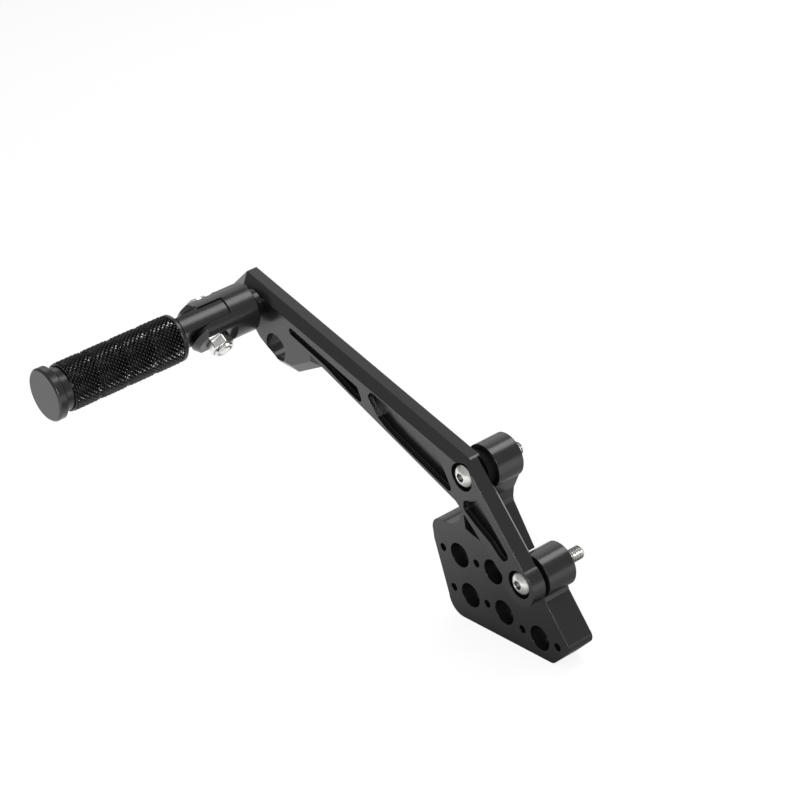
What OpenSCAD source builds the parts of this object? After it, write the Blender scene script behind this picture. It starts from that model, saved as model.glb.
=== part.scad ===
// Folding footpeg on an offset arm with a drilled base plate.
// X runs toward the base plate, -Y is outboard along the peg, Z is up.
// The origin is the lower bolt's axis where it leaves the base plate's back.

/* [Arm] */
// thickness of the arm
arm_t = 11; // [8:0.5:16]
// how far the outer edge bevel reaches into the face
bevel_in = 5.3; // [1:0.1:7]
// how deep the outer edge bevel goes down the side
bevel_deep = 4.1; // [1:0.1:6]
// slope of the arm's top edge, in degrees
top_slope = 17.97; // [10:0.01:26]
// slope of the arm's lower edge, in degrees
low_slope = 24.3; // [16:0.1:32]
// upper bolt, across from the lower bolt
upper_dx = -38.3; // [-60:0.1:-20]
// upper bolt, above the lower bolt
upper_dz = 53.6; // [40:0.1:70]
// distance of the lower leg's right edge from the line of bolts
leg_side = 9.8; // [8:0.1:14]
// chamfer along the lower leg's inner edge
inner_bevel = 2; // [0.5:0.1:2.5]
// corner radius where the bar turns into the lower leg
joint_r = 5; // [2:0.5:8]
// radius of the lower leg's round end
leg_end_r = 12.5; // [11:0.1:15]
// peg axis, across from the lower bolt
peg_x = -215.8; // [-260:0.1:-180]
// peg axis, above the lower bolt
peg_z = 109.8; // [90:0.1:130]
// lever hole, across from the peg axis
lever_dx = 15.2; // [12:0.1:24]
// lever hole, below the peg axis
lever_dz = -25; // [-34:0.1:-22]
// diameter of the lever hole
lever_d = 18; // [12:0.5:20]
// depth of the arm's blind pockets
pocket_deep = 4.4; // [3:0.1:8]
// corner radius of the pockets
pocket_r = 2.2; // [1:0.1:3]
// depth of the pockets' outer step
pocket_step = 2; // [1:0.1:3]
// width of the pockets' step
pocket_ledge = 1.5; // [0.5:0.1:2.4]

/* [Base plate] */
// thickness of the base plate
plate_t = 17.5; // [12:0.5:22]
// gap between the arm and the plate's front
plate_gap = 1; // [0.4:0.1:3]
// length of the lower boss
boss_len = 19.5; // [16:0.5:26]
// outer radius of both bosses
boss_r = 13; // [11:0.1:15]
// thickness of the upper lug
lug_t = 18; // [14:0.5:22]
// how far the plate reaches below the lower bolt
plate_drop = 54.4; // [48:0.1:62]
// diameter of the large holes
big_d = 15.4; // [10:0.1:17]
// diameter of the small holes
small_d = 5.1; // [3:0.1:7]
// distance between neighbouring holes of a row
hole_pitch = 14.5; // [13.5:0.05:17]
// first row, below the lower bolt
row_z = -11.7; // [-16:0.1:-9]
// first hole of the first row, across from the lower bolt
row_x = -80.7; // [-82:0.1:-70]
// second row, across from the first row
row_shift = 5.1; // [0:0.1:8]
// second row, below the first row
row_drop = 24.5; // [20:0.1:28]
// radius of the shallow step around the upper bolt
step_r = 48.5; // [46:0.1:50]
// left wall of the shallow step, across from the lower bolt
step_x = -57.4; // [-60:0.1:-50]
// radius of the ear at the plate's upper left corner
ear_r = 8.5; // [6:0.1:10]
// radius of the scallop beside the ear
scallop_r = 12; // [8:0.1:14]

/* [Bolts] */
// diameter of the bolts
bolt_d = 8; // [6:1:10]
// diameter of the button heads
head_d = 14; // [11:0.1:15]
// height of the button heads
head_h = 4.4; // [3:0.1:5]
// diameter of the counterbores
cbore_d = 16.9; // [15:0.1:18]
// depth of the counterbores
cbore_deep = 3.3; // [3:0.1:6.5]
// free threaded end of the lower bolt
lower_free = 14.5; // [8:0.5:24]
// free threaded end of the upper bolt
upper_free = 8; // [4:0.5:20]
// length of the dark spacer on the upper bolt
spacer_len = 5; // [3:0.5:8]
// outer diameter of the spacer
spacer_d = 20.5; // [14:0.5:24]

/* [Clevis] */
// turn of the pivot about the peg axis, in degrees
clevis_turn = 41; // [0:1:90]
// radius of the clevis body
clevis_r = 14.8; // [13:0.1:17]
// radius of the short neck at the arm
neck_r = 9; // [8.8:0.1:12]
// length of the short neck at the arm
neck_len = 6; // [2:0.5:9]
// width of the slot
slot_w = 11.9; // [9:0.1:14]
// distance from the arm to the slot's root
slot_root = 24.5; // [20:0.1:28]
// distance from the arm to the pivot
pivot_off = 34.3; // [33.5:0.1:42]
// half width over the ears' milled flats
ear_flat = 12; // [10.5:0.1:13.5]
// half width at which the ears' ends start to taper
ear_taper = 8.5; // [7:0.1:10]
// distance from the arm to the start of the flats
flat_start = 22.5; // [19:0.1:27]
// diameter of the bolt that holds the clevis on the arm
knuckle_bolt_d = 8; // [8:1:8]
// diameter of the recess for that bolt's head in the arm's inner face
seat_d = 18.4; // [18.2:0.1:20]
// depth of that recess
seat_deep = 4.5; // [3.5:0.1:5]
// diameter of the dowel that keeps the clevis from turning
dowel_d = 2.8; // [2:0.1:3]
// distance of the dowel from the peg axis
dowel_off = 6.4; // [6.3:0.1:7]

/* [Peg] */
// radius of the peg's tongue
tongue_r = 14; // [12:0.1:14.5]
// distance from the arm to the collar
collar_off = 56.4; // [53:0.1:64]
// length of the plain collar
collar_len = 2.6; // [1.5:0.1:5]
// radius of the knurled grip
grip_r = 14.6; // [13:0.1:17]
// distance from the arm to the grip's outer end
grip_end = 133.5; // [110:0.1:150]
// number of ring grooves on the grip
rings = 3; // [1:1:5]
// width of a ring groove
ring_w = 0.9; // [0.8:0.1:3]
// depth of a ring groove
ring_deep = 0.7; // [0.4:0.1:2]
// radius of the spindle inside the grip
spindle_r = 9; // [7.5:0.1:10.5]
// radius of the round end cap
cap_r = 15.9; // [14.8:0.1:19]
// thickness of the end cap's disc
cap_t = 5.7; // [3:0.1:9]
// length of the cap's neck
cap_neck = 6; // [3:0.1:9]

/* [Clearances] */
// running clearance of the pivot, in radius
run_gap = 0.06; // [0.02:0.01:0.1]
// side clearance between tongue and ears
side_gap = 0.3; // [0.3:0.05:0.5]
// clearance of a bolt in its plain hole, in radius
hole_gap = 0.2; // [0.1:0.05:0.4]
// clearance of a sleeve on its spindle, in radius
sleeve_gap = 0.1; // [0.05:0.05:0.3]

/* [Hidden] */
$fn = 72;
e = 0.02;

c2 = [0, 0];
c1 = [upper_dx, upper_dz];
peg_c = [peg_x, peg_z];
lever_c = [peg_x + lever_dx, peg_z + lever_dz];
bolt_r = bolt_d / 2;
arm_in = -boss_len;
arm_out = arm_in - arm_t;
plate_front = arm_in + plate_gap;
plate_back = plate_front + plate_t;
lug_front = arm_in + spacer_len;
lug_back = lug_front + lug_t;
pivot_y = arm_out - pivot_off;
root_y = arm_out - slot_root;
collar_y = arm_out - collar_off;
knurl_y = collar_y - collar_len;
grip_y = arm_out - grip_end;
cap_y = grip_y - cap_neck;
tongue_w = slot_w - 2 * side_gap;
swing_r = pivot_off - slot_root - side_gap;
ear_y = pivot_y - clevis_r;
pivot_tip = ear_flat + 8.2;
k_bolt_r = knuckle_bolt_d / 2;
shank_r = bolt_r - 0.4;
dowel_c = peg_c - [dowel_off, 0];

// unit vectors of the line of bolts, and the joint of bar and leg
leg_len = norm(c1);
leg_u = [-c1[0], -c1[1]] / leg_len;
leg_n = [-leg_u[1], leg_u[0]];
tt = tan(top_slope);
tl = tan(low_slope);
joint_z0 = c1[1] + 10.9;
joint_x = (leg_side - leg_n[1] * (joint_z0 + tt * (c1[0] + 4.3))) / (leg_n[0] - leg_n[1] * tt);
function top_z(x) = joint_z0 + tt * (c1[0] + 4.3) - tt * x;
elbow = [c1[0] + 1.1, c1[1] - 27.7];
function low_z(x) = elbow[1] + tl * (elbow[0] - x);
joint = [joint_x, top_z(joint_x)];
top_n = [sin(top_slope), cos(top_slope)];
joint_c = joint - joint_r * (top_n + leg_n) / (1 + top_n * leg_n);

// outline of the head that carries the peg
head_top = peg_x - 8.2;
head_poly = [
  [head_top, top_z(head_top)],
  [peg_x + 56, top_z(peg_x + 56)],
  [peg_x + 54, low_z(peg_x + 54)],
  [peg_x + 29.1, peg_z - 38.5],
  [peg_x + 11.5, peg_z - 37.2],
  [peg_x - 3.7, peg_z - 26.3],
  [peg_x - 20.7, peg_z - 3.8],
  [peg_x - 25.7, peg_z + 3.2]
];
// outline of the tapered bar
bar_poly = [
  [peg_x + 26, top_z(peg_x + 26)],
  joint,
  elbow,
  [peg_x + 31, low_z(peg_x + 31)]
];
// outline of the lower leg
leg_poly = [
  joint,
  c2 + leg_side * leg_n,
  c2,
  [-13.6, 0.6],
  [elbow[0] - 9.8, elbow[1] + 10.5],
  [c1[0] - 22, c1[1] + 6],
  [c1[0] - 22, top_z(c1[0] - 22)]
];
// pocket outlines, drawn without their corner radius
pocket_a = [
  [peg_x + 32.6, peg_z - 6.2], [c1[0] - 85.7, c1[1] + 29],
  [c1[0] - 81.7, c1[1] + 17.6], [c1[0] - 93.7, c1[1] + 22.4],
  [peg_x + 63, peg_z - 22.8], [peg_x + 31.3, peg_z - 11]
];
pocket_b = [
  [c1[0] - 73.2, c1[1] + 29.8], [c1[0] - 23.7, c1[1] + 14.4],
  [c1[0] - 17.4, c1[1] + 5], [c1[0] - 13.1, c1[1] - 4.2],
  [c1[0] - 8.9, c1[1] - 15.2], [c1[0] - 26.9, c1[1] - 7.4],
  [c1[0] - 52.8, c1[1] + 4], [c1[0] - 64.7, c1[1] + 10.2],
  [c1[0] - 70, c1[1] + 14.2], [c1[0] - 77.7, c1[1] + 25.7]
];
pocket_c = [
  [-39.8, 38.6], [-27, 43.6], [-6.6, 16.4], [-6.4, 13.2], [-10.6, 10.1],
  [-14, 11.8], [-20.8, 18.7], [-32, 26], [-40.8, 32.8]
];

// a flat shape drawn in X and Z, from y0 to y1
module slab(y0, y1) {
  translate([0, y1, 0])
    rotate([90, 0, 0])
      linear_extrude(y1 - y0)
        children();
}

// a round bar along Y through point p
module rod(p, y0, y1, r) {
  translate([p[0], y1, p[1]])
    rotate([90, 0, 0])
      cylinder(h = y1 - y0, r = r);
}

// a cone along Y through point p
module taper(p, y0, y1, r0, r1) {
  translate([p[0], y1, p[1]])
    rotate([90, 0, 0])
      cylinder(h = y1 - y0, r1 = r1, r2 = r0);
}

// a hexagonal bar along Y through point p
module hexbar(p, y0, y1, flats) {
  translate([p[0], y1, p[1]])
    rotate([90, 0, 0])
      cylinder(h = y1 - y0, d = flats / cos(30), $fn = 6);
}

// a convex plate whose outer rim is bevelled
module bevelled(poly) {
  hull() {
    slab(arm_out + bevel_deep, arm_in) polygon(poly);
    slab(arm_out, arm_in) offset(delta = -bevel_in) polygon(poly);
  }
}

// the wedge that continues the top bevel over the leg
module top_wedge() {
  translate([joint[0] - 38, 0, top_z(joint[0] - 38) - e])
    rotate([0, top_slope, 0])
      rotate([90, 0, 90])
        linear_extrude(50)
          polygon([
            [arm_out - 1, 4], [arm_out - 1, -bevel_in * (1 + 1 / bevel_deep)],
            [arm_out + bevel_deep * (1 + 4 / bevel_in), 4]
          ]);
}

// what the rounded corner of bar and leg takes away
module joint_corner() {
  difference() {
    slab(arm_out - 1, arm_in + 1)
      polygon([
        joint_c, joint_c + joint_r * top_n, joint_c + (joint_r + 3) * top_n,
        joint + 3 * (top_n + leg_n), joint_c + (joint_r + 3) * leg_n, joint_c + joint_r * leg_n
      ]);
    rod(joint_c, arm_out - 2, arm_in + 2, joint_r + e);
  }
}

// what the chamfer along the leg's inner edge takes away
module leg_chamfer() {
  rotate([0, -atan2(leg_u[0], -leg_u[1]), 0])
    translate([leg_side, arm_in, -leg_end_r])
      linear_extrude(leg_len + 3 * leg_end_r)
        polygon([[3, -inner_bevel - 3], [3, 3], [-inner_bevel - 3, 3]]);
}

// turns the clevis and the peg about the peg's axis
module peg_place() {
  translate([peg_x, 0, peg_z])
    rotate([0, clevis_turn, 0])
      children();
}

// a round bar along the pivot
module pin(x0, x1, r) {
  translate([x0, pivot_y, 0])
    rotate([0, 90, 0])
      cylinder(h = x1 - x0, r = r);
}

// a button head with a hex socket, its seat at y1
module button_head(p, y1, d, h, socket) {
  ball_r = (d * d / 4 + (h - 1) * (h - 1)) / (2 * (h - 1));
  difference() {
    intersection() {
      rod(p, y1 - h, y1, d / 2);
      translate([p[0], y1 - h + ball_r, p[1]]) sphere(r = ball_r + 0.6);
    }
    hexbar(p, y1 - h - 1, y1 - h + h * 0.55, socket);
  }
}

// a blind pocket, its inner part smaller by a ledge
module pocket(poly) {
  slab(arm_out - 1, arm_out + pocket_step)
    offset(r = pocket_r, $fn = 24)
      offset(delta = -pocket_r - 0.2)
        polygon(poly);
  slab(arm_out - 1, arm_out + pocket_deep)
    offset(r = pocket_r - 1.2, $fn = 16)
      offset(delta = 1 - pocket_r - pocket_ledge)
        polygon(poly);
}

module arm() {
  rim = inner_bevel - 0.2;
  color([0.03, 0.03, 0.035])
    difference() {
      union() {
        bevelled(head_poly);
        bevelled(bar_poly);
        difference() {
          union() {
            difference() {
              slab(arm_out, arm_in) polygon(leg_poly);
              leg_chamfer();
            }
            rod([-1.2, -1.2], arm_out, arm_in - rim, leg_end_r);
            taper([-1.2, -1.2], arm_in - rim, arm_in, leg_end_r, leg_end_r - rim);
          }
          top_wedge();
        }
      }
      joint_corner();
      rod(lever_c, arm_out - 1, arm_in + 1, lever_d / 2);
      for (c = [c1, c2]) {
        rod(c, arm_out - 1, arm_out + cbore_deep, cbore_d / 2);
        rod(c, arm_out, arm_in + 1, bolt_r + hole_gap);
      }
      rod(peg_c, arm_out - 1, arm_in + 1, k_bolt_r + hole_gap);
      rod(peg_c, arm_in - seat_deep, arm_in + 1, seat_d / 2);
      rod(dowel_c, arm_out - 1, arm_out + 4, dowel_d / 2);
      pocket(pocket_a);
      pocket(pocket_b);
      pocket(pocket_c);
    }
}

// outline of the plate's full thickness
module plate_outline() {
  bottom = -plate_drop;
  ear_c = [-88.2 + ear_r, -1.5];
  scallop_c = [-60.5 - scallop_r, 7 + scallop_r];
  difference() {
    union() {
      polygon([
        [-88.2, -8], [-88, -1.5], [-60.2, 17], [step_r * -1 - 9, 17.5], [-24.2, -4.5],
        [0, 8], [6, -14.8], [20.2, -36.3], [19.4, -42.8], [7.2, -53.5],
        [5, bottom], [-70.5, bottom], [-76, -52], [-79.6, -48.2], [-81.3, -43.8]
      ]);
      translate(ear_c) circle(r = ear_r);
      translate([-70.5, bottom + 11]) circle(r = 11);
      translate([16.1, bottom + 15.4]) circle(r = 5);
    }
    translate(scallop_c) circle(r = scallop_r);
    polygon([
      scallop_c, scallop_c - [0, scallop_r], ear_c + [0, ear_r + e],
      ear_c + [-3 * ear_r, ear_r + e], scallop_c - [3 * ear_r, 0]
    ]);
  }
}

// outline of the web that rises to the upper boss
module web_outline() {
  polygon([
    [-60.6, 17.4], c1 + [-boss_r + 0.3, 3], c1 + [0, 0], c1 + [7.6, -10.2],
    c1 + [1.2, -20.6], c1 + [-0.4, -26.6], c1 + [-0.4, -29.8], [-24.4, -4],
    [-20, -12], [-52, -12], [-60.4, -4]
  ]);
}

function hole_at(row, n) = [
  row_x + row * row_shift + n * hole_pitch,
  row_z - row * row_drop - (n > 3 ? 5.2 : 0)
];

module base_plate() {
  color([0.03, 0.03, 0.035])
    difference() {
      union() {
        difference() {
          slab(plate_front, plate_back) plate_outline();
          intersection() {
            rod(c1, plate_front - 1, lug_front, step_r);
            slab(plate_front - 1, lug_front) translate([step_x, 0]) square(step_r);
          }
        }
        intersection() {
          slab(lug_front, lug_back) web_outline();
          rod(c1, lug_front - 1, lug_back + 1, step_r + 8.5);
        }
        rod(c1, lug_front, lug_back - 0.4, boss_r);
        taper(c1, lug_back - 0.4, lug_back, boss_r, boss_r - 0.4);
        rod(c2, arm_in, -0.4, boss_r);
        taper(c2, -0.4, 0, boss_r, boss_r - 0.4);
      }
      rod(c1, lug_front - 1, lug_back + 1, bolt_r + hole_gap);
      rod(c2, arm_in - 1, 1, bolt_r + hole_gap);
      for (n = [0, 2])
        for (row = [0, 1]) {
          rod(hole_at(row, n), plate_front - 1, plate_back + 6, small_d / 2);
          rod(hole_at(row, n + 1), plate_front - 1, plate_back + 6, big_d / 2);
        }
      rod(hole_at(1, 4), plate_front - 1, plate_back + 1, small_d / 2);
      rod(hole_at(1, 5), plate_front - 1, plate_back + 1, big_d / 2);
      rod(hole_at(1, 6), plate_front - 1, plate_back + 1, small_d / 2);
    }
}

// a bolt with a plain shank and a threaded free end
module frame_bolt(c, back, free) {
  seat = arm_out + cbore_deep;
  color([0.75, 0.75, 0.73])
    union() {
      button_head(c, seat, head_d, head_h, 5);
      rod(c, seat - e, back + e, shank_r);
      rod(c, back, back + free - 0.7, bolt_r);
      taper(c, back + free - 0.7, back + free, bolt_r, bolt_r - 0.7);
    }
}

module lower_bolt() {
  frame_bolt(c2, 0, lower_free);
}

module upper_bolt() {
  frame_bolt(c1, lug_back, upper_free);
}

module upper_spacer() {
  color([0.02, 0.02, 0.02])
    difference() {
      rod(c1, arm_in, lug_front, spacer_d / 2);
      rod(c1, arm_in - 1, lug_front + 1, bolt_r + hole_gap);
    }
}

module knuckle() {
  far = 2 * clevis_r;
  o = [0, 0];
  color([0.03, 0.03, 0.035])
    peg_place()
      difference() {
        union() {
          rod(o, arm_out - neck_len - e, arm_out, neck_r);
          taper(o, arm_out - neck_len - 0.8, arm_out - neck_len, clevis_r, clevis_r - 0.8);
          intersection() {
            rod(o, ear_y - 1, arm_out - neck_len - 0.8, clevis_r);
            union() {
              translate([-far, pivot_y, -far]) cube([2 * far, pivot_off, 2 * far]);
              pin(-ear_taper, ear_taper, clevis_r);
              for (turn = [0, 180])
                translate([0, pivot_y, 0])
                  rotate([0, turn + 90, 0])
                    translate([0, 0, ear_taper - e])
                      cylinder(h = 8, r1 = clevis_r, r2 = clevis_r - 5.5);
            }
          }
        }
        translate([-slot_w / 2, ear_y - 1, -far])
          cube([slot_w, root_y - ear_y + 1, 2 * far]);
        for (s = [-1, 1])
          translate([s * (ear_flat + far / 2) - far / 2, ear_y - 1, -far])
            cube([far, arm_out - flat_start - ear_y + 1, 2 * far]);
        pin(-far, far, bolt_r + 0.1);
        rod(o, arm_out - 16, arm_out + 1, k_bolt_r);
        rotate([0, -clevis_turn, 0]) rod([-dowel_off, 0], arm_out - 4, arm_out + 1, dowel_d / 2);
      }
}

module knuckle_bolt() {
  seat = arm_in - seat_deep;
  color([0.75, 0.75, 0.73])
    union() {
      translate([0, 2 * seat, 0])
        mirror([0, 1, 0])
          button_head(peg_c, seat, seat_d - 0.9, seat_deep + 0.5, 5);
      rod(peg_c, arm_out - 14, seat + e, k_bolt_r);
    }
}

module knuckle_dowel() {
  color([0.6, 0.6, 0.6])
    rod(dowel_c, arm_out - 3.8, arm_out + 3.8, dowel_d / 2);
}

module pivot_bolt() {
  color([0.8, 0.8, 0.78])
    peg_place()
      difference() {
        union() {
          pin(-ear_flat - e, pivot_tip - 0.7, bolt_r);
          translate([pivot_tip - 0.7 - e, pivot_y, 0])
            rotate([0, 90, 0])
              cylinder(h = 0.7, r1 = bolt_r, r2 = bolt_r - 0.7);
          pin(-ear_flat - 1.5, -ear_flat, 8.7);
          intersection() {
            pin(-ear_flat - 4.6, -ear_flat - 1.5 + e, 6.8);
            translate([-ear_flat + 3.6, pivot_y, 0]) sphere(r = 8.2);
          }
        }
        translate([-ear_flat - 6, pivot_y, 0])
          rotate([0, 90, 0])
            cylinder(h = 4.2, d = 5 / cos(30), $fn = 6);
      }
}

module pivot_nut() {
  color([0.8, 0.8, 0.78])
    peg_place()
      difference() {
        union() {
          translate([ear_flat, pivot_y, 0])
            rotate([0, 90, 0])
              intersection() {
                cylinder(h = 6, d = 13 / cos(30), $fn = 6);
                translate([0, 0, -7.4]) cylinder(h = 14, r1 = 14, r2 = 6.6);
                cylinder(h = 6, r = 7.35);
              }
          pin(ear_flat + 6 - e, ear_flat + 7.8, 5.9);
        }
        pin(ear_flat - 1, ear_flat + 9, bolt_r);
        pin(ear_flat + 5.6, ear_flat + 7.2, 5.2);
        pin(ear_flat + 7, ear_flat + 9, 4.6);
      }
}

module nut_insert() {
  color([0.12, 0.2, 0.5])
    peg_place()
      difference() {
        pin(ear_flat + 5.6, ear_flat + 7.2, 5.2);
        pin(ear_flat + 5, ear_flat + 8, bolt_r);
      }
}

module peg_core() {
  far = 2 * tongue_r;
  o = [0, 0];
  low = 3 * tongue_r;
  color([0.03, 0.03, 0.035])
    peg_place()
      difference() {
        union() {
          difference() {
            intersection() {
              rod(o, collar_y - e, pivot_y + swing_r, tongue_r);
              translate([-tongue_w / 2, collar_y - 1, -far])
                cube([tongue_w, collar_off, 2 * far]);
            }
            difference() {
              translate([-far, pivot_y - clevis_r - 2, -low]) cube([2 * far, 60, low]);
              pin(-far, far, swing_r);
              translate([-far, pivot_y - clevis_r - 3, -swing_r])
                cube([2 * far, clevis_r + 3, swing_r + 1]);
            }
          }
          taper(o, collar_y - 0.8, collar_y, tongue_r + 0.3, tongue_r - 0.5);
          rod(o, knurl_y, collar_y - 0.8, tongue_r + 0.3);
          rod(o, grip_y, knurl_y + e, spindle_r);
        }
        pin(-far, far, bolt_r + run_gap);
        rod(o, grip_y - 1, grip_y + 22, bolt_r);
      }
}

// profile of the knurled sleeve, radius against distance from its inner end
grip_len = grip_end - collar_off - collar_len;
seg_len = (grip_len - rings * ring_w) / (rings + 1);
grip_pts = [
  for (i = [0 : rings])
    let (a = i * (seg_len + ring_w))
      each [
        [grip_r - ring_deep, a], [grip_r - 0.25, a + 0.5], [grip_r, a + seg_len * 0.3],
        [grip_r, a + seg_len * 0.7], [grip_r - 0.25, a + seg_len - 0.5],
        [grip_r - ring_deep, a + seg_len]
      ]
];

module grip() {
  color([0.03, 0.03, 0.035])
    peg_place()
      translate([0, knurl_y, 0])
        rotate([90, 0, 0])
          rotate_extrude()
            polygon(concat(
              [[spindle_r + sleeve_gap, 0]], grip_pts, [[spindle_r + sleeve_gap, grip_len]]
            ));
}

module end_cap() {
  o = [0, 0];
  color([0.03, 0.03, 0.035])
    peg_place()
      union() {
        rod(o, grip_y, grip_y + 20, bolt_r);
        rod(o, cap_y, grip_y, grip_r - 1.6);
        taper(o, cap_y - 0.6, cap_y, cap_r, cap_r - 0.6);
        rod(o, cap_y - cap_t + 1, cap_y - 0.6, cap_r);
        taper(o, cap_y - cap_t, cap_y - cap_t + 1, cap_r - 1, cap_r);
      }
}

arm();
base_plate();
lower_bolt();
upper_bolt();
upper_spacer();
knuckle();
knuckle_bolt();
knuckle_dowel();
pivot_bolt();
pivot_nut();
nut_insert();
peg_core();
grip();
end_cap();
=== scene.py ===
"""Looks of a folding footpeg on an offset arm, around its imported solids.

Lengths are in millimetres, and MM turns them into Blender's metres. Only the lamps,
the floor's side and what the floor mirrors are given in metres.
"""

import math

import bpy
import numpy as np
from mathutils import Matrix, Vector


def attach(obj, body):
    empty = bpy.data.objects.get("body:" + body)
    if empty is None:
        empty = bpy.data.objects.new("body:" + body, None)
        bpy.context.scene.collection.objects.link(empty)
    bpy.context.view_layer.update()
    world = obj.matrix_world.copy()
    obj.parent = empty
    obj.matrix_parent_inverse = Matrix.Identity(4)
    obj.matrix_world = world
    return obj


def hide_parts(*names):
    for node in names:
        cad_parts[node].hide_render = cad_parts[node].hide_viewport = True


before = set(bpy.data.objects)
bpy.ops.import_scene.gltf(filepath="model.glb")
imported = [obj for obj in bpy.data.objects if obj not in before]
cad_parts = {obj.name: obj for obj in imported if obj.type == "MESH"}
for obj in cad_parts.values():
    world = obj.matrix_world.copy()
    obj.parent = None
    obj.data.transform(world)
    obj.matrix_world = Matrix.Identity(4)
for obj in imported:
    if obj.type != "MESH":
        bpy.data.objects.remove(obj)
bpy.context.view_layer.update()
MM = 0.001
FULL_TURN = 2 * math.pi

# Places of the solids: the arm's outer face, the peg's axis, the clevis's turn about
# it, and the base plate's straight edge, on which the object stands.
ARM_OUT = -30.5
PEG_X, PEG_Z = -215.8, 109.8
CLEVIS_TURN = math.radians(41.0)
PIVOT_DIR = np.array([math.cos(CLEVIS_TURN), 0.0, -math.sin(CLEVIS_TURN)])
FOLD_DIR = np.array([math.sin(CLEVIS_TURN), 0.0, math.cos(CLEVIS_TURN)])
FLOOR_Z = -54.4

# The grip: its two ends along Y, its radii and its ring grooves.
COLLAR_Y = ARM_OUT - 56.4
KNURL_Y = COLLAR_Y - 2.6
GRIP_END_Y = ARM_OUT - 133.5
GRIP_R = 14.6
GRIP_BORE_R = 9.1
RINGS = 3
RING_W, RING_DEEP = 0.9, 1.0

# The knurl: cells round the grip, mesh steps in a cell, depth, the factor that flattens
# the crests, and the length over which it runs out at the grip's two ends.
KNURL_CELLS = 31
CELL_STEPS = 8
KNURL_DEEP = 1.0
KNURL_CREST = 1.2
KNURL_RUN_OUT = 0.9

# The crown of each segment: its drop at the segment's ends, and where it starts, from
# 0 at the segment's middle to 1 at its ends.
CROWN_DROP = 0.45
CROWN_START = 0.72

# The threads: outer radius, pitch, depth, the radius where they start, the drop and the
# length of the tip's chamfer, the run-in and run-out, and the mesh steps round the bolt
# and in one turn.
THREAD_R, THREAD_PITCH, THREAD_DEEP = 4.0, 1.25, 0.62
SHANK_R = THREAD_R - 0.4
TIP_DROP, TIP_LENGTH = 0.6, 0.7
THREAD_IN, THREAD_OUT = 0.8, 1.0
THREAD_ROUND, THREAD_ROWS = 48, 10

# Each boss bolt: its axis (X, Z), and where its threaded end starts and stops along Y.
UPPER_BACK = 3.5
BOLT_ENDS = {
    "lower_bolt": ((0.0, 0.0), 0.0, 14.5),
    "upper_bolt": ((-38.3, 53.6), UPPER_BACK, UPPER_BACK + 8.0),
}

# The camera, as the photograph's edges and circles say it stood.
CAMERA_PLACE = (957.19, -768.58, 726.86)
CAMERA_FORWARD = (-0.72942, 0.51671, -0.44828)
CAMERA_RIGHT = (0.62541, 0.76922, -0.131)
FOCAL_PX, PICTURE_PX, SENSOR = 2600.0, 800.0, 36.0

# The soft boxes: place, target and size in metres, and power in watts.
LAMPS = {
    "overhead": ((0.1, 0.55, 1.05), (-0.08, 0.0, 0.03), (0.5, 0.5), 2.3),
    "back_left": ((-0.85, 0.75, 0.75), (-0.08, 0.0, 0.03), (1.2, 0.9), 2.2),
    "glint": ((1.0, -0.82, 0.62), (-0.2, -0.1, 0.1), (0.4, 0.6), 15.0),
}

# The world's level as a light, and what the camera sees on top of it.
WORLD_LEVEL, WORLD_SEEN = 0.35, 0.65

# The floor: half its side in metres, its grey, and the share and strength of the glow
# that the camera sees.
FLOOR_SIDE = 6.0
FLOOR_GREY = 0.8
SEEN_SHARE, SEEN_GLOW = 0.5, 1.5

# The floor as the object mirrors it: the level far away, the depth of a painted shadow
# round the object's foot in that mirrored floor, and the foot's place and reach in
# metres.
MIRROR_LEVEL, MIRROR_PAINTED_SHADOW = 0.98, 0.78
MIRROR_FOOT = (-0.02, -0.02, FLOOR_Z * MM)
MIRROR_REACH = 0.146


# ---------------------------------------------------------------- camera
def aim_camera():
    """Puts the camera at CAMERA_PLACE, with the photograph's focal length."""
    forward = Vector(CAMERA_FORWARD).normalized()
    right = Vector(CAMERA_RIGHT)
    right = (right - right.dot(forward) * forward).normalized()
    up = right.cross(forward)
    place = Vector(CAMERA_PLACE) * MM
    data = bpy.data.cameras.new("camera")
    data.sensor_width = SENSOR
    data.lens = FOCAL_PX / PICTURE_PX * SENSOR
    data.clip_start, data.clip_end = 0.05, 50.0
    camera = bpy.data.objects.new("camera", data)
    camera.matrix_world = Matrix((
        (right.x, up.x, -forward.x, place.x),
        (right.y, up.y, -forward.y, place.y),
        (right.z, up.z, -forward.z, place.z),
        (0.0, 0.0, 0.0, 1.0),
    ))
    bpy.context.scene.collection.objects.link(camera)
    bpy.context.scene.camera = camera


# ---------------------------------------------------------------- shader nodes
def node(tree, kind, values=None, **settings):
    """Adds a node, sets its properties, then the values of its inputs."""
    made = tree.nodes.new(kind)
    for key, value in settings.items():
        setattr(made, key, value)
    for label, value in (values or {}).items():
        made.inputs[label].default_value = value
    return made


def math_node(tree, operation, a, b=None, clamp=False):
    """A math node whose inputs are sockets or numbers; returns its output."""
    made = node(tree, "ShaderNodeMath", operation=operation, use_clamp=clamp)
    for slot, value in enumerate((a, b)):
        if value is None:
            continue
        if isinstance(value, (int, float)):
            made.inputs[slot].default_value = value
        else:
            tree.links.new(value, made.inputs[slot])
    return made.outputs[0]


def new_group(name, inputs, outputs):
    """An empty group with number inputs and the given outputs, and its end nodes."""
    group = bpy.data.node_groups.new(name, "ShaderNodeTree")
    for label in inputs:
        group.interface.new_socket(label, in_out="INPUT", socket_type="NodeSocketFloat")
    for label, kind in outputs:
        group.interface.new_socket(label, in_out="OUTPUT", socket_type=kind)
    return group, group.nodes.new("NodeGroupInput"), group.nodes.new("NodeGroupOutput")


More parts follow.
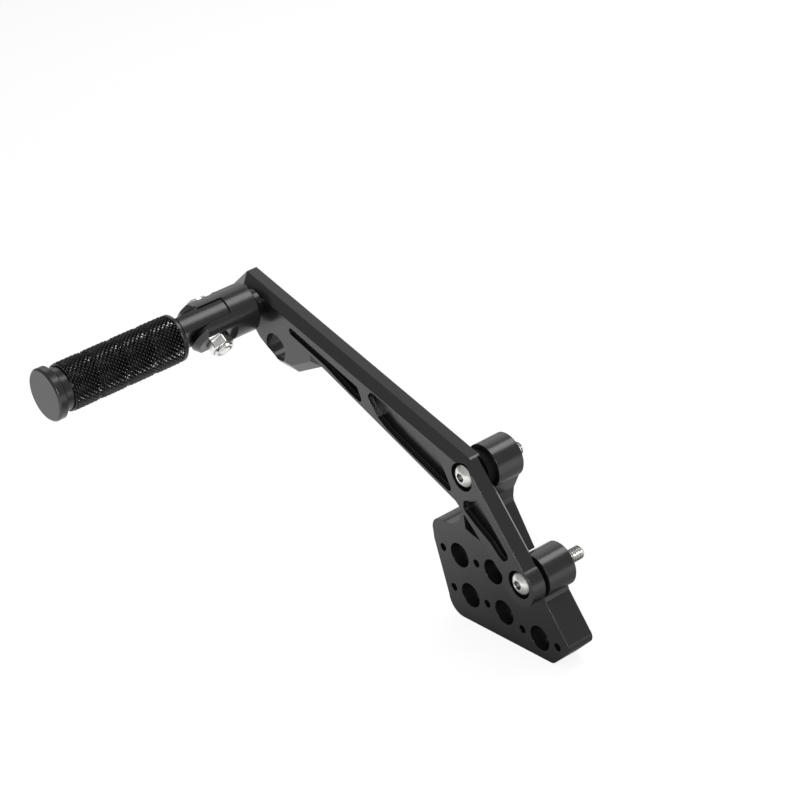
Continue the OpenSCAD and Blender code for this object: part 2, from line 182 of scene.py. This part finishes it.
def edge_wear_group():
    """Edge mask: how far the rounded normal leaves the flat one, times a soft noise."""
    group, gin, gout = new_group(
        "edge_wear", ("Radius", "Strength"),
        (("Mask", "NodeSocketFloat"), ("Normal", "NodeSocketVector")),
    )
    links = group.links
    bevel = node(group, "ShaderNodeBevel", samples=6)
    links.new(gin.outputs["Radius"], bevel.inputs["Radius"])
    flat = node(group, "ShaderNodeNewGeometry")
    dot = node(group, "ShaderNodeVectorMath", operation="DOT_PRODUCT")
    links.new(bevel.outputs["Normal"], dot.inputs[0])
    links.new(flat.outputs["Normal"], dot.inputs[1])
    bend = math_node(group, "SUBTRACT", 1.0, dot.outputs["Value"])
    bend = math_node(group, "MULTIPLY", bend, 6.0, clamp=True)
    place = node(group, "ShaderNodeTexCoord")
    grain = node(group, "ShaderNodeTexNoise", {"Scale": 160.0, "Detail": 5.0})
    links.new(place.outputs["Object"], grain.inputs["Vector"])
    patch = node(group, "ShaderNodeMapRange", {"From Min": 0.42, "From Max": 0.62})
    links.new(grain.outputs["Fac"], patch.inputs["Value"])
    mask = math_node(group, "MULTIPLY", bend, patch.outputs["Result"])
    mask = math_node(group, "MULTIPLY", mask, gin.outputs["Strength"], clamp=True)
    links.new(mask, gout.inputs["Mask"])
    links.new(bevel.outputs["Normal"], gout.inputs["Normal"])
    return group


def grain_group():
    """Two noises round 0.5: a fine grain of the given scale, and a coarse cloud."""
    group, gin, gout = new_group(
        "surface_grain", ("Scale",),
        (("Grain", "NodeSocketFloat"), ("Cloud", "NodeSocketFloat")),
    )
    links = group.links
    place = node(group, "ShaderNodeTexCoord")
    fine = node(group, "ShaderNodeTexNoise", {"Detail": 3.0})
    links.new(place.outputs["Object"], fine.inputs["Vector"])
    links.new(gin.outputs["Scale"], fine.inputs["Scale"])
    cloud = node(group, "ShaderNodeTexNoise", {"Scale": 28.0, "Detail": 2.0})
    links.new(place.outputs["Object"], cloud.inputs["Vector"])
    links.new(fine.outputs["Fac"], gout.inputs["Grain"])
    links.new(cloud.outputs["Fac"], gout.inputs["Cloud"])
    return group


def painted_hollow_shade_group():
    """Painted shade of hollows: Darkest where little of the sky is seen, 1 in the open.
    """
    group, gin, gout = new_group(
        "painted_hollow_shade", ("Distance", "Low", "High", "Darkest"),
        (("Shade", "NodeSocketFloat"),),
    )
    links = group.links
    open_sky = node(group, "ShaderNodeAmbientOcclusion", samples=6)
    links.new(gin.outputs["Distance"], open_sky.inputs["Distance"])
    shade = node(group, "ShaderNodeMapRange")
    links.new(open_sky.outputs["AO"], shade.inputs["Value"])
    links.new(gin.outputs["Low"], shade.inputs["From Min"])
    links.new(gin.outputs["High"], shade.inputs["From Max"])
    links.new(gin.outputs["Darkest"], shade.inputs["To Min"])
    links.new(shade.outputs["Result"], gout.inputs["Shade"])
    return group


EDGE = edge_wear_group()
GRAIN = grain_group()
PAINTED_HOLLOW_SHADE = painted_hollow_shade_group()


# ---------------------------------------------------------------- finishes
def new_material(name):
    """A material, its emptied node tree and its output node."""
    material = bpy.data.materials.new(name)
    material.use_nodes = True
    tree = material.node_tree
    tree.nodes.clear()
    return material, tree, node(tree, "ShaderNodeOutputMaterial")


def make_finish(name, colour, worn, rough, spread, edge_r, edge_wear, grain_scale, bump,
                metallic=0.0, ior=1.5, gloss=0.5, painted_shade=(5.0, 0.0, 0.5, 0.8)):
    """A finish with grain in its roughness and bump, paler edges and painted shade in
    its hollows.

    spread is how far the grain moves the roughness. edge_r and edge_wear are the width
    and the strength of the worn edges. painted_shade holds the Distance, Low, High and
    Darkest of painted_hollow_shade_group, whose painted shade darkens the colour and the
    reflection in hollows.
    """
    material, tree, out = new_material(name)
    links = tree.links
    shader = node(tree, "ShaderNodeBsdfPrincipled", {"Metallic": metallic, "IOR": ior})
    links.new(shader.outputs["BSDF"], out.inputs["Surface"])
    edge = node(tree, "ShaderNodeGroup",
                {"Radius": edge_r * MM, "Strength": edge_wear}, node_tree=EDGE)
    grain = node(tree, "ShaderNodeGroup", {"Scale": grain_scale}, node_tree=GRAIN)
    tint = node(tree, "ShaderNodeMix", {6: (*colour, 1.0), 7: (*worn, 1.0)},
                data_type="RGBA")
    links.new(edge.outputs["Mask"], tint.inputs[0])
    shade = node(tree, "ShaderNodeMapRange", {"To Min": 0.86, "To Max": 1.14})
    links.new(grain.outputs["Cloud"], shade.inputs["Value"])
    tone = node(tree, "ShaderNodeVectorMath", operation="SCALE")
    links.new(tint.outputs[2], tone.inputs[0])
    links.new(shade.outputs["Result"], tone.inputs["Scale"])
    # Painted shade: the hollow factor scales the base colour and the Specular IOR Level,
    # so hollows are darker and reflect less.
    distance, low, high, darkest = painted_shade
    painted_shade_node = node(tree, "ShaderNodeGroup", {
        "Distance": distance * MM, "Low": low, "High": high, "Darkest": darkest,
    }, node_tree=PAINTED_HOLLOW_SHADE)
    body = node(tree, "ShaderNodeVectorMath", operation="SCALE")
    links.new(tone.outputs["Vector"], body.inputs[0])
    links.new(painted_shade_node.outputs["Shade"], body.inputs["Scale"])
    links.new(body.outputs["Vector"], shader.inputs["Base Color"])
    links.new(math_node(tree, "MULTIPLY", painted_shade_node.outputs["Shade"], gloss),
              shader.inputs["Specular IOR Level"])
    rough_map = node(tree, "ShaderNodeMapRange", {
        "From Min": 0.3, "From Max": 0.7,
        "To Min": rough - spread, "To Max": rough + spread,
    })
    links.new(grain.outputs["Grain"], rough_map.inputs["Value"])
    links.new(rough_map.outputs["Result"], shader.inputs["Roughness"])
    relief = node(tree, "ShaderNodeBump", {"Strength": bump, "Distance": 0.04 * MM})
    links.new(grain.outputs["Grain"], relief.inputs["Height"])
    links.new(edge.outputs["Normal"], relief.inputs["Normal"])
    links.new(relief.outputs["Normal"], shader.inputs["Normal"])
    return material


# BLACK, KNURLED and BRIGHT paint shade into their hollows: holes and pockets, the
# knurl's grooves and the bolts' hex sockets.
BLACK = make_finish(
    "black_anodised", (0.0085, 0.0085, 0.009), (0.03, 0.03, 0.03),
    rough=0.24, spread=0.02, edge_r=0.4, edge_wear=0.35, grain_scale=1800.0,
    bump=0.03, ior=1.7, painted_shade=(18.0, 0.3, 0.8, 0.3))
KNURLED = make_finish(
    "knurled_black", (0.0025, 0.0025, 0.0027), (0.03, 0.03, 0.03),
    rough=0.15, spread=0.02, edge_r=0.06, edge_wear=0.3, grain_scale=1500.0,
    bump=0.02, ior=1.45, gloss=0.9, painted_shade=(1.0, 0.76, 0.98, 0.03))
# The spacer's black is darker and duller than the other black parts: a black part with
# painted shade for the narrow gap it sits in.
SPACER_PAINTED_SHADE = make_finish(
    "black_spacer", (0.002, 0.002, 0.0021), (0.006, 0.006, 0.006),
    rough=0.6, spread=0.06, edge_r=0.3, edge_wear=0.2, grain_scale=1500.0,
    bump=0.1, ior=1.25)
BRIGHT = make_finish(
    "bright_steel", (0.93, 0.925, 0.91), (0.95, 0.95, 0.94),
    rough=0.28, spread=0.05, edge_r=0.25, edge_wear=0.5, grain_scale=700.0,
    bump=0.08, metallic=1.0, painted_shade=(4.0, 0.45, 0.85, 0.06))
GROUND = make_finish(
    "plain_steel", (0.45, 0.45, 0.45), (0.6, 0.6, 0.6),
    rough=0.35, spread=0.05, edge_r=0.1, edge_wear=0.4, grain_scale=900.0,
    bump=0.1, metallic=1.0)
NYLON = make_finish(
    "nylon", (0.70, 0.71, 0.69), (0.75, 0.76, 0.74),
    rough=0.5, spread=0.05, edge_r=0.1, edge_wear=0.2, grain_scale=600.0, bump=0.1)

FINISHES = {
    "arm": BLACK, "base_plate": BLACK, "knuckle": BLACK, "peg_core": BLACK,
    "end_cap": BLACK, "upper_spacer": SPACER_PAINTED_SHADE, "lower_bolt": BRIGHT,
    "upper_bolt": BRIGHT, "knuckle_bolt": BRIGHT, "pivot_bolt": BRIGHT,
    "pivot_nut": BRIGHT, "knuckle_dowel": GROUND, "nut_insert": NYLON,
    "grip": KNURLED,
}


# ---------------------------------------------------------------- meshes
def make_mesh(name, points, faces, material, smooth=True):
    """A mesh object from arrays of points in millimetres and of faces."""
    mesh = bpy.data.meshes.new(name)
    mesh.from_pydata((points * MM).tolist(), [], [tuple(f) for f in faces])
    mesh.validate()
    mesh.polygons.foreach_set("use_smooth", np.full(len(mesh.polygons), smooth))
    mesh.materials.append(material)
    mesh.update()
    made = bpy.data.objects.new(name, mesh)
    bpy.context.scene.collection.objects.link(made)
    return made


def ring_faces(rows, cols):
    """Quads of a grid whose rows run along the axis and whose columns close round it."""
    i, j = np.meshgrid(np.arange(rows - 1), np.arange(cols), indexing="ij")
    k = (j + 1) % cols
    quads = np.stack([i * cols + j, i * cols + k, (i + 1) * cols + k,
                      (i + 1) * cols + j], -1)
    return quads.reshape(-1, 4)


def peg_point(radius, angle, y):
    """Points round the peg's axis: radius at an angle from the pivot's direction."""
    across = radius * np.cos(angle)
    rise = radius * np.sin(angle)
    return np.stack([
        PEG_X + across * PIVOT_DIR[0] + rise * FOLD_DIR[0],
        y + 0.0 * across,
        PEG_Z + across * PIVOT_DIR[2] + rise * FOLD_DIR[2],
    ], -1)


def grip_profile(pitch):
    """The grip's stations along its axis, with the radius and the knurl's share at each.

    Each segment is a cylinder with crowned ends, and a ring groove, one station with
    no knurl, parts it from the next. The knurl runs out at the grip's own two ends.
    """
    segment = (KNURL_Y - GRIP_END_Y - RINGS * RING_W) / (RINGS + 1)
    t = np.linspace(0.0, 1.0, int(round(segment / pitch * CELL_STEPS)) + 1)
    past = np.clip(np.abs(2 * t - 1) - CROWN_START, 0, 1)
    crown = CROWN_DROP * past ** 2 / (1 - CROWN_START) ** 2
    stations, radii, shares = [], [], []
    for s in range(RINGS + 1):
        along = s * (segment + RING_W) + t * segment
        from_start = t + (1.0 if s else 0.0)
        from_end = 1 - t + (1.0 if s < RINGS else 0.0)
        run = np.minimum(from_start, from_end) * segment / KNURL_RUN_OUT
        stations.append(along)
        radii.append(GRIP_R - crown)
        shares.append(np.clip(run, 0, 1))
        if s < RINGS:
            stations.append(along[-1:] + RING_W * 0.5)
            radii.append(np.array([GRIP_R - RING_DEEP]))
            shares.append(np.zeros(1))
    return np.concatenate(stations), np.concatenate(radii), np.concatenate(shares)


def knurled_sleeve():
    """Sleeve radius = segment profile less the depth of two crossed helical grooves.

    With a = u + v and b = u - v, u counting cells round and v along, the knurl's
    height is the smaller of the two triangle waves of a and b, clipped flat on top.
    """
    pitch = FULL_TURN * GRIP_R / KNURL_CELLS
    count = KNURL_CELLS * CELL_STEPS
    angle = FULL_TURN * np.arange(count) / count
    along, radius, share = grip_profile(pitch)
    u = np.arange(count) / CELL_STEPS
    v = (along / pitch)[:, None]
    wave_a = 1 - np.abs(2 * ((u + v) % 1.0) - 1)
    wave_b = 1 - np.abs(2 * ((u - v) % 1.0) - 1)
    height = np.clip(KNURL_CREST * np.minimum(wave_a, wave_b), 0, 1)
    r = radius[:, None] - KNURL_DEEP * (1 - height) * share[:, None]
    a, y = np.meshgrid(angle, KNURL_Y - along, indexing="xy")
    outer = peg_point(r, a, y)
    a, y = np.meshgrid(angle, KNURL_Y - along[[-1, 0]], indexing="xy")
    inner = peg_point(np.full(a.shape, GRIP_BORE_R), a, y)
    rows = len(outer) + len(inner)
    end = (rows - 1) * count
    j = np.arange(count)
    k = (j + 1) % count
    seam = np.stack([end + j, end + k, k, j], -1)
    points = np.concatenate([outer, inner]).reshape(-1, 3)
    faces = np.concatenate([ring_faces(rows, count), seam])
    return make_mesh("knurled_sleeve", points, faces, KNURLED, smooth=False)


def threaded_bolt(cad_name):
    """The bolt's own mesh with its plain end cut off, and a helical thread in its place.

    The thread's radius is THREAD_R less THREAD_DEEP times a triangle wave of
    y / THREAD_PITCH + angle, and the wave runs in and out at the two ends.
    """
    (axis_x, axis_z), y0, y1 = BOLT_ENDS[cad_name]
    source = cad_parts[cad_name].data
    co = np.zeros(len(source.vertices) * 3)
    source.vertices.foreach_get("co", co)
    co = co.reshape(-1, 3) / MM
    source.calc_loop_triangles()
    tri = np.zeros(len(source.loop_triangles) * 3, int)
    source.loop_triangles.foreach_get("vertices", tri)
    tri = tri.reshape(-1, 3)
    tri = tri[~np.all(co[tri][:, :, 1] > y0 - 0.001, axis=1)]
    count = THREAD_ROUND
    rows = int((y1 - y0) / THREAD_PITCH * THREAD_ROWS) + 1
    y = np.concatenate([[y0], np.linspace(y0, y1, rows - 1)])
    angle = FULL_TURN * np.arange(count) / count
    a, yy = np.meshgrid(angle, y, indexing="xy")
    phase = (yy / THREAD_PITCH + a / FULL_TURN) % 1.0
    wave = np.clip(1.5 * np.abs(2 * phase - 1) - 0.2, 0, 1)
    ends = np.clip(np.minimum((y1 - yy) / THREAD_OUT, (yy - y0) / THREAD_IN), 0, 1)
    lead = np.clip((y1 - yy) / TIP_LENGTH, 0, 1)
    r = THREAD_R - THREAD_DEEP * wave * ends - TIP_DROP * (1 - lead)
    r[0] = SHANK_R
    shell = np.stack([axis_x + r * np.cos(a), yy, axis_z - r * np.sin(a)], -1)
    tip = np.array([[axis_x, y1, axis_z]])
    base = len(co)
    top = base + (rows - 1) * count
    j = np.arange(count)
    fan = np.stack([top + j, top + (j + 1) % count, np.full(count, top + count)], -1)
    points = np.concatenate([co, shell.reshape(-1, 3), tip])
    faces = [*tri, *(ring_faces(rows, count) + base), *fan]
    return make_mesh(cad_name + "_threaded", points, faces, BRIGHT)


def dress():
    """Gives each solid its finish and adds the pieces that the solids stand in for."""
    for name, material in FINISHES.items():
        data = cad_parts[name].data
        data.materials.clear()
        data.materials.append(material)
    sleeve = knurled_sleeve()
    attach(sleeve, "peg")
    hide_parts("grip")
    for cad_name in BOLT_ENDS:
        bolt = threaded_bolt(cad_name)
        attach(bolt, "mount")
        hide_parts(cad_name)


# ---------------------------------------------------------------- studio
def soft_lamp(name, place, target, size, power):
    """A rectangular soft box at place, turned to its target."""
    data = bpy.data.lights.new(name, "AREA")
    data.shape = "RECTANGLE"
    data.size, data.size_y = size
    data.energy = power
    lamp = bpy.data.objects.new(name, data)
    lamp.location = place
    aim = Vector(target) - Vector(place)
    lamp.rotation_euler = aim.to_track_quat("-Z", "Y").to_euler()
    bpy.context.scene.collection.objects.link(lamp)


def floor_material():
    """Diffuse grey that takes the shadow, and a glow for the camera and for mirrors.

    The glow that the object mirrors is MIRROR_LEVEL less a painted shadow round the
    object's foot, MIRROR_PAINTED_SHADOW * exp(-(distance / MIRROR_REACH) ** 2).
    """
    material, tree, out = new_material("pale_floor")
    links = tree.links
    grey = (FLOOR_GREY, FLOOR_GREY, FLOOR_GREY, 1)
    diffuse = node(tree, "ShaderNodeBsdfDiffuse", {"Color": grey})
    glow = node(tree, "ShaderNodeEmission")
    path = node(tree, "ShaderNodeLightPath")
    seen, mirrored = path.outputs["Is Camera Ray"], path.outputs["Is Glossy Ray"]
    place = node(tree, "ShaderNodeNewGeometry")
    reach = node(tree, "ShaderNodeVectorMath", {1: MIRROR_FOOT}, operation="DISTANCE")
    links.new(place.outputs["Position"], reach.inputs[0])
    # Painted shadow: the floor that the object mirrors darkens round the object's foot.
    painted_shadow = math_node(tree, "MULTIPLY", reach.outputs["Value"], reach.outputs["Value"])
    painted_shadow = math_node(tree, "MULTIPLY", painted_shadow, -1.0 / MIRROR_REACH ** 2)
    painted_shadow = math_node(tree, "MULTIPLY", math_node(tree, "EXPONENT", painted_shadow), MIRROR_PAINTED_SHADOW)
    level = math_node(tree, "SUBTRACT", MIRROR_LEVEL, painted_shadow)
    level = math_node(tree, "MULTIPLY", level, mirrored)
    shown = math_node(tree, "MULTIPLY", seen, SEEN_GLOW)
    links.new(math_node(tree, "ADD", level, shown), glow.inputs["Strength"])
    share = math_node(tree, "MULTIPLY", seen, SEEN_SHARE)
    share = math_node(tree, "ADD", share, mirrored, clamp=True)
    blend = node(tree, "ShaderNodeMixShader")
    links.new(share, blend.inputs[0])
    links.new(diffuse.outputs["BSDF"], blend.inputs[1])
    links.new(glow.outputs["Emission"], blend.inputs[2])
    links.new(blend.outputs["Shader"], out.inputs["Surface"])
    return material


def white_world():
    """A dim, even light that the camera sees as white."""
    world = bpy.data.worlds.new("studio")
    bpy.context.scene.world = world
    world.use_nodes = True
    tree = world.node_tree
    tree.nodes.clear()
    out = node(tree, "ShaderNodeOutputWorld")
    back = node(tree, "ShaderNodeBackground", {"Color": (1, 1, 1, 1)})
    path = node(tree, "ShaderNodeLightPath")
    level = math_node(tree, "MULTIPLY", path.outputs["Is Camera Ray"], WORLD_SEEN)
    level = math_node(tree, "ADD", level, WORLD_LEVEL)
    tree.links.new(level, back.inputs["Strength"])
    tree.links.new(back.outputs["Background"], out.inputs["Surface"])


def studio():
    """A pale floor just under the object, a white world and the soft boxes."""
    material = floor_material()
    corners = np.array([[-1, -1, 0], [1, -1, 0], [1, 1, 0], [-1, 1, 0]])
    corners = corners * FLOOR_SIDE / MM
    corners[:, 2] = FLOOR_Z - 0.05
    floor = make_mesh("floor", corners, np.array([[0, 1, 2, 3]]), material, smooth=False)
    white_world()
    for name, (place, target, size, power) in LAMPS.items():
        soft_lamp(name, place, target, size, power)


bpy.context.scene.view_settings.view_transform = "Standard"
dress()
studio()
aim_camera()
